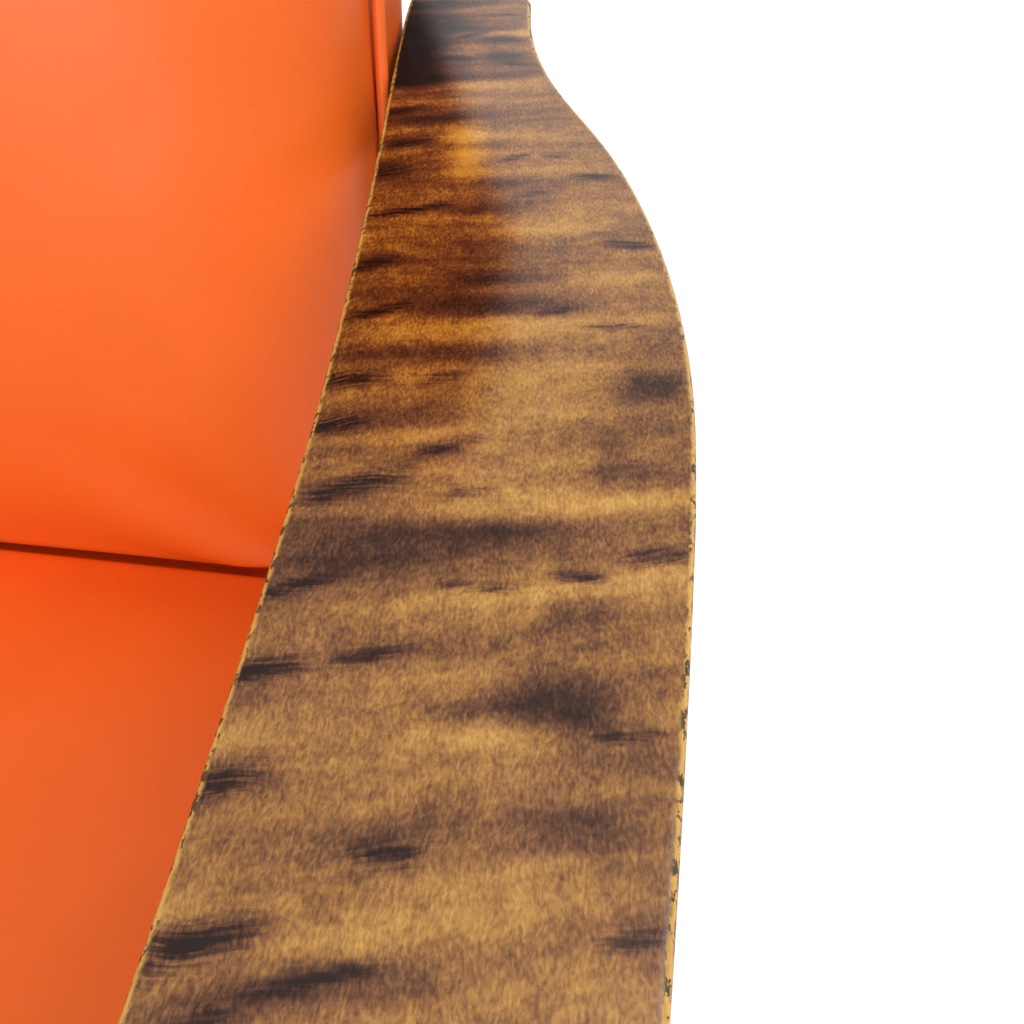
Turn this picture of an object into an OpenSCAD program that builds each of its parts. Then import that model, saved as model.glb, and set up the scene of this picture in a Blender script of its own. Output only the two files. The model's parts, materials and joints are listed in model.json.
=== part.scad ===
/* [Overall] */
// Clear width between the two arms at the front
seat_w = 1620; // [1200:10:2000]
// Height of the arms' top face above the floor
arm_top = 630; // [600:5:660]
// Height of the back above the floor
back_top = 865; // [840:5:900]

/* [Arms] */
// Thickness of the arm boards
arm_t = 32; // [24:1:38]
// Width of an arm at its widest point
arm_w = 108; // [100:1:125]
// Width of an arm near its front end
arm_w_front = 84; // [80:1:98]
// Width of an arm near its rear end
arm_w_rear = 63; // [60:1:66]

/* [Legs and rails] */
// Width of each leg, seen from the front
leg_w = 48; // [42:1:50]
// Height of the rails' lower edge above the floor
rail_z = 290; // [270:5:300]
// Height of the rails
rail_h = 80; // [70:1:90]
// Thickness of the front and rear rails
rail_t = 28; // [24:1:30]

/* [Upholstery] */
// Height of the seat above the floor at its front edge
seat_front_z = 450; // [440:1:465]
// Height of the seat above the floor where it meets the back
seat_rear_z = 412; // [405:1:425]
// Thickness of the leather with its wadding
skin = 3; // [2:0.5:4]
// Radius of the piping cord
piping_r = 3; // [2.5:0.5:5]
// Radius of the back's upper corners
corner_r = 60; // [55:1:65]

/* [Hidden] */
$fn = 48;

// Colours
WALNUT = [0.50, 0.31, 0.16];
BEECH = [0.80, 0.66, 0.46];
ORANGE = [0.90, 0.36, 0.10];
STEEL = [0.62, 0.63, 0.65];
BRASS = [0.72, 0.58, 0.30];
JUTE = [0.66, 0.55, 0.36];
FOAM = [0.93, 0.88, 0.66];
BLACK = [0.10, 0.10, 0.11];

// Plan: +X to the sitter's left, -Y to the front, Z up from the floor.
arm_in = seat_w / 2;              // inner edge of an arm, at the front
arm_out = arm_in + arm_w;
arm_front_y = -404;
arm_rear_y = 388;
arm_under = arm_top - arm_t;
glide_h = 8;
rail_top = rail_z + rail_h;

front_leg_x = arm_in + 18;        // inner faces of the legs
rear_leg_x = arm_in - 24;
front_leg_face = -380;            // front and rear faces, at the rails
front_leg_back = -316;
rear_leg_face = 222;
rear_leg_back = 298;
front_rail_y = -374;
rear_rail_y = 238.5;
front_rail_in = front_rail_y + rail_t;
side_rail_t = 26;
cross_rail_x = 272;
cross_rail_w = 24;
cross_rail_h = 50;
cross_rail_z = rail_z + 10;

// Dowels, bolts and glides
dowel_r = 5;
dowel_len = 40;
dowel_gap = 0.05;
bolt_r = 4;
bolt_gap = 0.2;
corner_bolt_len = 95;
corner_bolt_off = 8;              // from the leg's corner to the bolt's axis
corner_bolt_end = 10;             // what stands out of the block
nut_af = 13;                      // width across the nut's flats
nut_h = 6.5;
washer_r = 10;
washer_t = 1.6;
block_len = 95;                   // arm of a corner block along its rail
glide_r = 11;
nail_r = 1.5;
nail_len = 14;

// Seat
seat_front_y = -372;              // where its front border stands on the rail
seat_swell = 16;                  // how far the border swells out above that
crease_y = 146;
seat_back_y = 216;
border_top = seat_front_z - 16;   // height of the seat's front seam
strap_t = 2.5;
strap_w = 50;
hessian_t = 1;
foam_z = rail_top + 2 * strap_t + hessian_t;

// Back: a slab leaning at back_rake, whose own frame starts at the crease
back_rake = 20;
back_t = 130;
back_half = 776;
crown = 58;                       // how far the front panel rolls back to its edges
crown_w = 110;
lumbar = 7;                       // swell of the front panel
frame_t = 28;                     // thickness of the back's hidden frame
panel_t = 2;
edge_y = crown + 4;               // depth of the piped seam
back_h = (back_top - 2 * piping_r - 0.4 - seat_rear_z + edge_y * sin(back_rake)) / cos(back_rake);
frame_y = back_t - panel_t - frame_t;
frame_low = 28;
frame_high = back_h - 20;
stile_x = 712;
stile_w = 45;
top_rail_h = 45;
bottom_rail_h = 60;
upright_x = 240;
upright_w = 40;
EPS = 0.01;

// A point of the back's own frame (depth y, height z) in plan depth and height
function lean(y, z) = [
    crease_y + y * cos(back_rake) + z * sin(back_rake),
    seat_rear_z - y * sin(back_rake) + z * cos(back_rake)
];

// Depths and heights of the two bolts on each side of the back
BACK_BOLTS = [lean(frame_y + frame_t / 2, 105), lean(frame_y + frame_t / 2, 198)];
back_bolt_in = 40;

// ---- Helpers ----

// Points of a cubic Bezier curve
function bez(p, n = 12) = [
    for (i = [0:n]) let (t = i / n, s = 1 - t)
        s * s * s * p[0] + 3 * s * s * t * p[1] + 3 * s * t * t * p[2] + t * t * t * p[3]
];

// Points of an elliptical arc
function arc(c, rx, ry, a0, a1, n = 12) = [
    for (i = [0:n]) let (a = a0 + (a1 - a0) * i / n) c + [rx * cos(a), ry * sin(a)]
];

// Both sides of the sofa
module both() {
    children();
    mirror([1, 0, 0]) children();
}

// A profile drawn in the (Y, Z) plane, extruded along X from x0 to x1
module along_x(points, x0, x1) {
    translate([x0, 0, 0]) rotate([90, 0, 90]) linear_extrude(x1 - x0) polygon(points);
}

// A profile drawn in the (X, Z) plane, extruded along Y from y0 to y1
module along_y(points, y0, y1) {
    translate([0, y1, 0]) rotate([90, 0, 0]) linear_extrude(y1 - y0) polygon(points);
}

// The back's own frame: local Z runs up its front face and local Y into it
module on_back() {
    translate([0, crease_y, seat_rear_z]) rotate([-back_rake, 0, 0]) children();
}

// ---- Arms ----

// Plan of the +X arm: nearly straight inner edge, outer edge swelling and then waisted
function arm_plan() = concat(
    arc([arm_in + arm_w_front / 2, arm_front_y + 34], arm_w_front / 2, 34, 180, 360, 18),
    bez([[arm_in + arm_w_front, arm_front_y + 44], [arm_in + arm_w_front + 4, -220],
         [arm_out - 3, -80], [arm_out, 88]], 14),
    bez([[arm_out, 88], [arm_out, 150], [arm_out - 18, 214], [arm_out - 42, 256]], 12),
    bez([[arm_out - 42, 256], [arm_out - 56, 281], [arm_in + arm_w_rear - 29, 312],
         [arm_in + arm_w_rear - 33, arm_rear_y - 18]], 12),
    arc([arm_in + arm_w_rear / 2 - 33, arm_rear_y - 16], arm_w_rear / 2, 16, 0, 180, 12),
    bez([[arm_in - 33, arm_rear_y - 22], [arm_in - 27, 272], [arm_in - 4, 160],
         [arm_in, -40]], 16)
);

module arm() {
    color(WALNUT) difference() {
        translate([0, 0, arm_under]) linear_extrude(arm_t) polygon(arm_plan());
        arm_dowel_set(dowel_r + dowel_gap);
    }
}

// ---- Legs ----

function front_leg_profile() = concat(
    bez([[-370, arm_under], [-372, 500], [front_leg_face, 440], [front_leg_face, rail_top]], 8),
    bez([[front_leg_face, rail_z], [front_leg_face, 200], [-380, 110], [-398, glide_h]], 10),
    bez([[-364, glide_h], [-346, 110], [front_leg_back, 200], [front_leg_back, rail_z]], 10),
    bez([[front_leg_back, rail_top], [front_leg_back, 440], [-322, 500], [-324, arm_under]], 8)
);

function rear_leg_profile() = concat(
    bez([[306, arm_under], [286, 530], [rear_leg_face + 16, 440], [rear_leg_face, rail_top]], 8),
    bez([[rear_leg_face, rail_z], [rear_leg_face, 210], [304, 110], [364, glide_h]], 10),
    bez([[398, glide_h], [358, 110], [rear_leg_back, 210], [rear_leg_back, rail_z]], 10),
    bez([[rear_leg_back, rail_top], [rear_leg_back + 14, 440], [342, 530], [358, arm_under]], 8)
);

module front_leg() {
    color(WALNUT) difference() {
        along_x(front_leg_profile(), front_leg_x, front_leg_x + leg_w);
        arm_dowel_set(dowel_r + dowel_gap);
        side_dowel_set(dowel_r + dowel_gap);
        corner_rods(bolt_r + bolt_gap / 4);
        glide_nails(nail_r);
    }
}

module rear_leg() {
    color(WALNUT) difference() {
        along_x(rear_leg_profile(), rear_leg_x, rear_leg_x + leg_w);
        arm_dowel_set(dowel_r + dowel_gap);
        side_dowel_set(dowel_r + dowel_gap);
        corner_rods(bolt_r + bolt_gap / 4);
        glide_nails(nail_r);
        for (b = BACK_BOLTS)
            translate([rear_leg_x - 1, b[0], b[1]]) rotate([0, 90, 0])
                cylinder(r = bolt_r + bolt_gap, h = leg_w + 2);
    }
}

// Short square leg under the middle of a rail, tapering both ways
module centre_leg(y0, y1, foot_y) {
    top_half = 22;
    foot_half = 14;
    color(WALNUT) difference() {
        intersection() {
            along_y([[-top_half, rail_z], [top_half, rail_z], [foot_half, glide_h],
                     [-foot_half, glide_h]], y0 - 60, y1 + 60);
            along_x([[y0, rail_z], [y1, rail_z], [foot_y + foot_half, glide_h],
                     [foot_y - foot_half, glide_h]], -top_half - 1, top_half + 1);
        }
        centre_dowel_set(dowel_r + dowel_gap);
        glide_nails(nail_r);
    }
}

// ---- Rails of the seat ----

module front_rail() {
    color(WALNUT) difference() {
        translate([-front_leg_x, front_rail_y, rail_z]) cube([2 * front_leg_x, rail_t, rail_h]);
        both() side_dowel_set(dowel_r + dowel_gap);
        both() cross_dowel_set(dowel_r + dowel_gap);
        centre_dowel_set(dowel_r + dowel_gap);
    }
}

module rear_rail() {
    color(WALNUT) difference() {
        translate([-rear_leg_x, rear_rail_y, rail_z]) cube([2 * rear_leg_x, rail_t, rail_h]);
        both() side_dowel_set(dowel_r + dowel_gap);
        both() cross_dowel_set(dowel_r + dowel_gap);
        centre_dowel_set(dowel_r + dowel_gap);
    }
}

// Inner face of the +X side rail, which runs inwards towards the back
function side_in(y) =
    front_leg_x + (rear_leg_x - front_leg_x) * (y - front_leg_back) / (rear_leg_face - front_leg_back);

module side_rail() {
    color(WALNUT) difference() {
        translate([0, 0, rail_z]) linear_extrude(rail_h) polygon([
            [front_leg_x, front_leg_back], [front_leg_x + side_rail_t, front_leg_back],
            [rear_leg_x + side_rail_t, rear_leg_face], [rear_leg_x, rear_leg_face]
        ]);
        side_dowel_set(dowel_r + dowel_gap);
    }
}

module cross_rail() {
    color(BEECH) difference() {
        translate([cross_rail_x - cross_rail_w / 2, front_rail_in, cross_rail_z])
            cube([cross_rail_w, rear_rail_y - front_rail_in, cross_rail_h]);
        cross_dowel_set(dowel_r + dowel_gap);
    }
}

// Inner face of the side rail, as a slope: how far it moves inwards per mm of depth
rail_slope = (front_leg_x - rear_leg_x) / (rear_leg_face - front_leg_back);

// Blocks that brace the corners and carry the corner bolts; their long face is at 45 degrees
module corner_blocks() {
    front_reach = (block_len + front_rail_in - front_leg_back) / (1 + rail_slope);
    rear_reach = (block_len - rear_rail_y + rear_leg_face) / (1 - rail_slope);
    front_end = front_leg_back + front_reach;
    rear_end = rear_leg_face - rear_reach;
    block_z = rail_z + 8;
    block_h = rail_h - 16;
    color(BEECH) both() difference() {
        translate([0, 0, block_z]) linear_extrude(block_h) {
            polygon([
                [front_leg_x - block_len, front_rail_in], [front_leg_x, front_rail_in],
                [front_leg_x, front_leg_back], [side_in(front_end) - EPS, front_end]
            ]);
            polygon([
                [rear_leg_x - block_len, rear_rail_y], [rear_leg_x, rear_rail_y],
                [rear_leg_x, rear_leg_face], [side_in(rear_end) - EPS, rear_end]
            ]);
        }
        corner_rods(bolt_r + bolt_gap);
    }
}

// ---- Fasteners ----

// Distance from a leg, along a corner bolt, to the slanting face of its block
front_depth = (block_len + front_rail_in - front_leg_back + corner_bolt_off) / sqrt(2);
rear_depth = (block_len - rear_rail_y + rear_leg_face + corner_bolt_off) / sqrt(2);

// A frame on each corner bolt's axis, on the block's face: local Z points into the seat
module at_corner_bolts() {
    for (z = [rail_z + 26, rail_z + rail_h - 26]) {
        translate([front_leg_x, front_leg_back - corner_bolt_off, z]) rotate([0, 0, 135])
            rotate([0, 90, 0]) translate([0, 0, front_depth]) children();
        translate([rear_leg_x, rear_leg_face + corner_bolt_off, z]) rotate([0, 0, 225])
            rotate([0, 90, 0]) translate([0, 0, rear_depth]) children();
    }
}

module corner_rods(r) {
    at_corner_bolts() translate([0, 0, corner_bolt_end - corner_bolt_len])
        cylinder(r = r, h = corner_bolt_len);
}

module corner_bolts() {
    color(STEEL) both() corner_rods(bolt_r);
}

module corner_washers() {
    color(STEEL) both() at_corner_bolts() translate([0, 0, EPS]) difference() {
        cylinder(r = washer_r, h = washer_t);
        translate([0, 0, -1]) cylinder(r = bolt_r + bolt_gap, h = washer_t + 2);
    }
}

module corner_nuts() {
    color(STEEL) both() at_corner_bolts() translate([0, 0, washer_t + EPS]) difference() {
        cylinder(r = nut_af / 2 / cos(30), h = nut_h, $fn = 6);
        translate([0, 0, -1]) cylinder(r = bolt_r + bolt_gap / 4, h = nut_h + 2);
    }
}

// Dowels that lie across the legs and rails, on the +X side
module side_dowel_set(r) {
    for (z = [rail_z + 13, rail_z + rail_h - 13]) {
        translate([front_leg_x - dowel_len / 2, front_rail_y + 8, z]) rotate([0, 90, 0])
            cylinder(r = r, h = dowel_len);
        translate([rear_leg_x - dowel_len / 2, rear_rail_y + 18, z]) rotate([0, 90, 0])
            cylinder(r = r, h = dowel_len);
        translate([front_leg_x + side_rail_t / 2 + 2, front_leg_back - dowel_len / 2, z])
            rotate([-90, 0, 0]) cylinder(r = r, h = dowel_len);
        translate([rear_leg_x + side_rail_t / 2 + 2, rear_leg_face - dowel_len / 2, z])
            rotate([-90, 0, 0]) cylinder(r = r, h = dowel_len);
    }
}

// Dowels at the ends of the +X cross rail
module cross_dowel_set(r) {
    for (z = [cross_rail_z + 12, cross_rail_z + cross_rail_h - 12], y = [front_rail_in, rear_rail_y])
        translate([cross_rail_x, y - dowel_len / 2, z]) rotate([-90, 0, 0])
            cylinder(r = r, h = dowel_len);
}

// Dowels on top of the two centre legs
module centre_dowel_set(r) {
    for (y = [front_rail_y + rail_t / 2, rear_rail_y + rail_t / 2])
        translate([0, y, rail_z - dowel_len / 2]) cylinder(r = r, h = dowel_len);
}

module frame_dowels() {
    color(BEECH) {
        both() side_dowel_set(dowel_r);
        both() cross_dowel_set(dowel_r);
        centre_dowel_set(dowel_r);
    }
}

// Dowels between the +X arm and its two legs
module arm_dowel_set(r) {
    arm_dowel_up = 18;
    for (p = [[front_leg_x + leg_w / 2, -358], [front_leg_x + leg_w / 2, -336],
              [rear_leg_x + leg_w / 2, 320], [rear_leg_x + leg_w / 2, 345]])
        translate([p[0], p[1], arm_under + arm_dowel_up - dowel_len])
            cylinder(r = r, h = dowel_len);
}

module arm_dowels() {
    color(BEECH) both() arm_dowel_set(dowel_r);
}

// Feet of the +X legs, and of the centre legs
SIDE_FEET = [[front_leg_x + leg_w / 2, -381], [rear_leg_x + leg_w / 2, 381]];
CENTRE_FEET = [[0, front_rail_y + rail_t / 2], [0, rear_rail_y + rail_t / 2]];

module glide_nails(r) {
    for (p = concat(SIDE_FEET, CENTRE_FEET))
        translate([p[0], p[1], glide_h - 1]) cylinder(r = r, h = nail_len);
}

module glides() {
    color(STEEL) {
        both() for (p = SIDE_FEET) glide(p);
        for (p = CENTRE_FEET) glide(p);
    }
}

// One glide: a disc with a rounded rim on a nail
module glide(p) {
    rim = 2;
    translate([p[0], p[1], 0]) {
        rotate_extrude() polygon(concat(
            [[0, 0], [glide_r - rim, 0]],
            arc([glide_r - rim, rim], rim, rim, -90, 0, 6),
            [[glide_r, glide_h], [0, glide_h]]
        ));
        translate([0, 0, glide_h - 1]) cylinder(r = nail_r, h = nail_len);
    }
}

// ---- Frame of the back ----

module back_member(x, w, z, h) {
    on_back() translate([x, frame_y, z]) cube([w, frame_t, h]);
}

module back_top_rail() {
    color(BEECH) back_member(-stile_x, 2 * stile_x, frame_high - top_rail_h, top_rail_h);
}

module back_bottom_rail() {
    color(BEECH) back_member(-stile_x, 2 * stile_x, frame_low, bottom_rail_h);
}

module back_stile() {
    color(BEECH) difference() {
        back_member(stile_x, stile_w, frame_low, frame_high - frame_low);
        for (b = BACK_BOLTS)
            translate([stile_x + stile_w - back_bolt_in, b[0], b[1]]) rotate([0, 90, 0])
                cylinder(r = bolt_r + bolt_gap / 4, h = back_bolt_in + 1);
    }
}

module back_uprights() {
    color(BEECH) both()
        back_member(upright_x, upright_w, frame_low + bottom_rail_h,
                    frame_high - top_rail_h - frame_low - bottom_rail_h);
}

// Batten on the rear rail, under the back's bottom rail
module back_batten() {
    y0 = rear_rail_y + 17;
    y1 = rear_rail_y + rail_t;
    low = lean(frame_y, frame_low);
    slope = tan(back_rake);
    color(BEECH) along_x([
        [y0, rail_top], [y1, rail_top],
        [y1 + 5, low[1] - (y1 + 5 - low[0]) * slope - 0.05],
        [y0, low[1] - (y0 - low[0]) * slope - 0.05]
    ], -stile_x, stile_x);
}

// Bolts from the rear legs into the back's stiles, with domed heads outside
module back_bolts() {
    dome_r = 9;
    dome_h = 5;
    shank_start = stile_x + stile_w - back_bolt_in;
    head_x = rear_leg_x + leg_w + washer_t;
    color(BRASS) both() for (b = BACK_BOLTS) translate([0, b[0], b[1]]) rotate([0, 90, 0]) {
        translate([0, 0, shank_start]) cylinder(r = bolt_r, h = head_x - shank_start);
        translate([0, 0, head_x]) rotate_extrude()
            polygon(concat([[0, 0]], arc([0, 0], dome_r, dome_h, 0, 90, 8)));
    }
}

module back_bolt_washers() {
    color(BRASS) both() for (b = BACK_BOLTS)
        translate([rear_leg_x + leg_w, b[0], b[1]]) rotate([0, 90, 0]) difference() {
            cylinder(r = washer_r + 1, h = washer_t);
            translate([0, 0, -1]) cylinder(r = bolt_r + bolt_gap, h = washer_t + 2);
        }
}

// Wooden rings between the rear legs and the back's sides
module back_spacers() {
    color(WALNUT) both() for (b = BACK_BOLTS)
        translate([back_half, b[0], b[1]]) rotate([0, 90, 0]) difference() {
            cylinder(r = 14, h = rear_leg_x - back_half);
            translate([0, 0, -1]) cylinder(r = bolt_r + bolt_gap, h = rear_leg_x - back_half + 2);
        }
}

// ---- Seat upholstery ----

// Straps that run from the front rail to the rear rail
module seat_webbing_long() {
    strap_count = 21;
    pitch = 71;
    color(JUTE) for (i = [0:strap_count - 1])
        translate([(i - (strap_count - 1) / 2) * pitch - strap_w / 2, front_rail_y + 6, rail_top])
            cube([strap_w, rear_rail_y + 16 - front_rail_y - 6, strap_t]);
}

// Straps that run from one side rail to the other, on top of the long ones
module seat_webbing_cross() {
    strap_count = 7;
    pitch = 74;
    first_y = front_leg_back + 40;
    color(JUTE) for (i = [0:strap_count - 1]) {
        y = first_y + i * pitch;
        half = side_in(y) + 8;
        translate([-half, y - strap_w / 2, rail_top + strap_t]) cube([2 * half, strap_w, strap_t]);
    }
}

// Plan of the seat, notched round the front legs
function seat_plan(i) = [
    [front_leg_x - 3 - i, seat_front_y - seat_swell + i], [front_leg_x - 3 - i, front_leg_back + 4 + i],
    [front_leg_x + 16 - i, front_leg_back + 4 + i], [rear_leg_x + 16 - i, seat_back_y - 6],
    [rear_leg_x + 16 - i, seat_back_y - i]
];

function mirrored(points) = concat(points, [for (k = [len(points) - 1:-1:0]) [-points[k][0], points[k][1]]]);

// Side view of the seat: swelling front border, rolled edge, top falling to the rear
function seat_profile(i) = concat(
    [[seat_back_y - i, rail_top - 5], [seat_front_y + i, rail_top - 5]],
    bez([[seat_front_y + i, rail_top], [seat_front_y - seat_swell + i, rail_top + 16],
         [seat_front_y - seat_swell + i, border_top - 24],
         [seat_front_y - seat_swell / 2 + i, border_top]], 8),
    bez([[seat_front_y - seat_swell / 2 + i, border_top], [seat_front_y + i, seat_front_z - 4 - i],
         [seat_front_y + 26, seat_front_z - i], [seat_front_y + 70, seat_front_z - i]], 8),
    [[crease_y, seat_rear_z - i], [seat_back_y - i, seat_rear_z - 4 - i]]
);

module seat_form(i, z0) {
    intersection() {
        translate([0, 0, z0]) linear_extrude(200) polygon(mirrored(seat_plan(i)));
        along_x(seat_profile(i), -arm_out, arm_out);
    }
}

module seat_hessian() {
    color(JUTE) intersection() {
        seat_form(skin + 2, foam_z - hessian_t);
        translate([-arm_in - 50, seat_front_y, foam_z - hessian_t - 10])
            cube([2 * arm_in + 100, 700, 10 + hessian_t]);
    }
}

module seat_foam() {
    color(FOAM) seat_form(skin, foam_z);
}

module seat_cover() {
    color(ORANGE) difference() {
        seat_form(0, rail_top + EPS);
        seat_form(skin, rail_top - 1);
        translate([-arm_in, crease_y, rail_top - 1]) cube([2 * arm_in, 200, 2 * strap_t + 1.2]);
    }
}

// Cord sewn along the front border's upper seam
module seat_piping() {
    half = front_leg_x - 5;
    y = seat_front_y - seat_swell / 2 - piping_r - 1.2;
    color(ORANGE) translate([-half, y, border_top + 1.5]) rotate([0, 90, 0])
        cylinder(r = piping_r, h = 2 * half);
}

// Cloth under the seat that hides the frame
module dust_cover() {
    edge = 8;
    color(BLACK) translate([0, 0, rail_z - 1]) linear_extrude(1) difference() {
        polygon(mirrored([
            [front_leg_x - edge, front_rail_y + edge], [front_leg_x - edge, front_leg_back + edge],
            [side_in(front_leg_back) + edge, front_leg_back + edge],
            [side_in(rear_leg_face) + edge, rear_leg_face - edge],
            [rear_leg_x - edge, rear_leg_face - edge], [rear_leg_x - edge, rear_rail_y + rail_t - edge]
        ]));
        for (p = CENTRE_FEET) translate(p) square([50, 34], center = true);
    }
}

// ---- Back upholstery ----

module back_webbing_upright() {
    strap_count = 12;
    pitch = 112;
    color(JUTE) on_back() for (i = [0:strap_count - 1])
        translate([(i - (strap_count - 1) / 2) * pitch - strap_w / 2, frame_y - strap_t, frame_low + 8])
            cube([strap_w, strap_t, frame_high - frame_low - 16]);
}

module back_webbing_level() {
    strap_count = 3;
    pitch = 110;
    color(JUTE) on_back() for (i = [0:strap_count - 1])
        translate([-stile_x - 30, frame_y - 2 * strap_t, frame_low + 84 + i * pitch])
            cube([2 * stile_x + 60, strap_t, strap_w]);
}

module back_hessian() {
    color(JUTE) on_back() translate([-stile_x - 36, frame_y - 2 * strap_t - hessian_t, frame_low + 4])
        cube([2 * stile_x + 72, hessian_t, frame_high - frame_low - 8]);
}

// Side view of the back: swelling front, rolled top, level underside, foot on the rear rail
function back_profile(i) = concat(
    bez([lean(i, 14), lean(i - lumbar, 110), lean(i - lumbar, 250), lean(i, 390)], 12),
    bez([lean(i, 390), lean(i, 445), lean(crown - 22, back_h - i), lean(edge_y, back_h - i)], 10),
    [lean(back_t, back_h - i),
     lean(back_t, 4.5),
     [rear_rail_y + 4, rail_top + 1.5],
     [rear_rail_y + 4, seat_rear_z + 2 + i],
     [crease_y + 12 + i, seat_rear_z + 2 + i]]
);

module back_form(i) {
    half = back_half - i;
    r = corner_r - i;
    top = back_h - i;
    intersection() {
        along_x(back_profile(i), -half - 1, half + 1);
        on_back() translate([0, 300, 0]) rotate([90, 0, 0]) linear_extrude(400) polygon(concat(
            [[-half, -200], [half, -200]],
            arc([half - r, top - r], r, r, 0, 90, 12),
            arc([r - half, top - r], r, r, 90, 180, 12)
        ));
        on_back() translate([0, 0, -200]) linear_extrude(900) polygon(mirrored(concat(
            [[half - crown_w, i - 20]],
            arc([half - crown_w, crown + i], crown_w, crown + lumbar, -90, 0, 12),
            [[half, 400]]
        )));
    }
}

// The space that the back's frame and webbing fill
module back_frame_space() {
    depth = frame_t + 2 * strap_t + hessian_t;
    on_back() translate([-stile_x - stile_w - 0.2, back_t - panel_t - depth - 0.2, -80])
        cube([2 * (stile_x + stile_w) + 0.4, depth + 80, frame_high + 80.2]);
}

module back_bolt_holes() {
    both() for (b = BACK_BOLTS)
        translate([stile_x, b[0], b[1]]) rotate([0, 90, 0])
            cylinder(r = bolt_r + bolt_gap, h = back_half - stile_x + 5);
}

module back_foam() {
    color(FOAM) difference() {
        back_form(skin);
        back_frame_space();
        back_bolt_holes();
    }
}

module back_cover() {
    color(ORANGE) difference() {
        back_form(0);
        back_form(skin);
        back_frame_space();
        back_bolt_holes();
    }
}

// Cord sewn round the front panel's sides and top
module back_piping() {
    gap = 0.2;
    x = back_half + piping_r + gap;
    top = back_h + piping_r + gap;
    corner_x = back_half - corner_r;
    corner_z = back_h - corner_r;
    color(ORANGE) on_back() translate([0, edge_y, 0]) {
        translate([-corner_x, 0, top]) rotate([0, 90, 0]) cylinder(r = piping_r, h = 2 * corner_x);
        both() translate([x, 0, 16]) cylinder(r = piping_r, h = corner_z - 16);
        both() translate([corner_x, 0, corner_z]) rotate([90, 0, 0])
            rotate_extrude(angle = 90) translate([x - corner_x, 0]) circle(piping_r);
    }
}

// Panel that closes the back from behind and is tacked to the rear rail
module outside_back() {
    rail_face = rear_rail_y + rail_t;
    color(ORANGE) along_x([
        lean(back_t, frame_high - 2), lean(back_t, 2.2), [rail_face + panel_t, rail_z + 46],
        [rail_face, rail_z + 46], [rail_face, rail_top], lean(back_t - panel_t + EPS, 2.2),
        lean(back_t - panel_t + EPS, frame_high - 2)
    ], -stile_x - stile_w, stile_x + stile_w);
}

// ---- Assembly ----

// The origin is on the floor, in the middle of the whole sofa's length and depth
module placed() {
    middle = (arm_front_y + lean(back_t, back_h)[0]) / 2;
    translate([0, -middle, 0]) children();
}

placed() arm();  // arm_left
placed() mirror([1, 0, 0]) arm();  // arm_right
placed() front_leg();  // front_leg_left
placed() mirror([1, 0, 0]) front_leg();  // front_leg_right
placed() rear_leg();  // rear_leg_left
placed() mirror([1, 0, 0]) rear_leg();  // rear_leg_right
placed() side_rail();  // side_rail_left
placed() mirror([1, 0, 0]) side_rail();  // side_rail_right
placed() front_rail();
placed() rear_rail();
placed() cross_rail();  // cross_rail_left
placed() mirror([1, 0, 0]) cross_rail();  // cross_rail_right
placed()  // centre_leg_front
    centre_leg(front_rail_y, front_rail_in, front_rail_y + rail_t / 2);
placed()  // centre_leg_rear
    centre_leg(rear_rail_y, rear_rail_y + rail_t, rear_rail_y + rail_t / 2);
placed() corner_blocks();
placed() corner_bolts();
placed() corner_washers();
placed() corner_nuts();
placed() frame_dowels();
placed() arm_dowels();
placed() glides();
placed() back_top_rail();
placed() back_bottom_rail();
placed() back_stile();  // back_stile_left
placed() mirror([1, 0, 0]) back_stile();  // back_stile_right
placed() back_uprights();
placed() back_batten();
placed() back_bolts();
placed() back_bolt_washers();
placed() back_spacers();
placed() seat_webbing_long();
placed() seat_webbing_cross();
placed() seat_hessian();
placed() seat_foam();
placed() seat_cover();
placed() seat_piping();
placed() dust_cover();
placed() back_webbing_upright();
placed() back_webbing_level();
placed() back_hessian();
placed() back_foam();
placed() back_cover();
placed() back_piping();
placed() outside_back();
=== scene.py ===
import json
import math

import bmesh
import bpy
import numpy as np
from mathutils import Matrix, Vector


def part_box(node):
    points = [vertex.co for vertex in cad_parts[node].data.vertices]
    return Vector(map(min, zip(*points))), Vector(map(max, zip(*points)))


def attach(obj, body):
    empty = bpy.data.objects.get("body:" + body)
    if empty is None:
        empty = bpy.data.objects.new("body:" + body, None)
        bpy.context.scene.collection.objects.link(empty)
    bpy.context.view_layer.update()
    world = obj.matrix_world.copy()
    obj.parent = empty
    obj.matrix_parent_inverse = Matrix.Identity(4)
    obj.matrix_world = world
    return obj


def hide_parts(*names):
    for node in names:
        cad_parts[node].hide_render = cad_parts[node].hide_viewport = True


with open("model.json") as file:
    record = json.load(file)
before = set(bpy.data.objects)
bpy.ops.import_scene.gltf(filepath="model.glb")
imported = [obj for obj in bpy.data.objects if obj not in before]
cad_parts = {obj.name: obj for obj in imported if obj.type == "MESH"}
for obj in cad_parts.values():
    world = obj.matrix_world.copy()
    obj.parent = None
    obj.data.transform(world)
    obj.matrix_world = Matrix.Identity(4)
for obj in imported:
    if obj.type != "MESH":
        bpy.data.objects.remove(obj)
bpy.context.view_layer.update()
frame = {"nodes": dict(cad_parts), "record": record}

MM = 0.001


# ---- Node helpers ----

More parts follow.
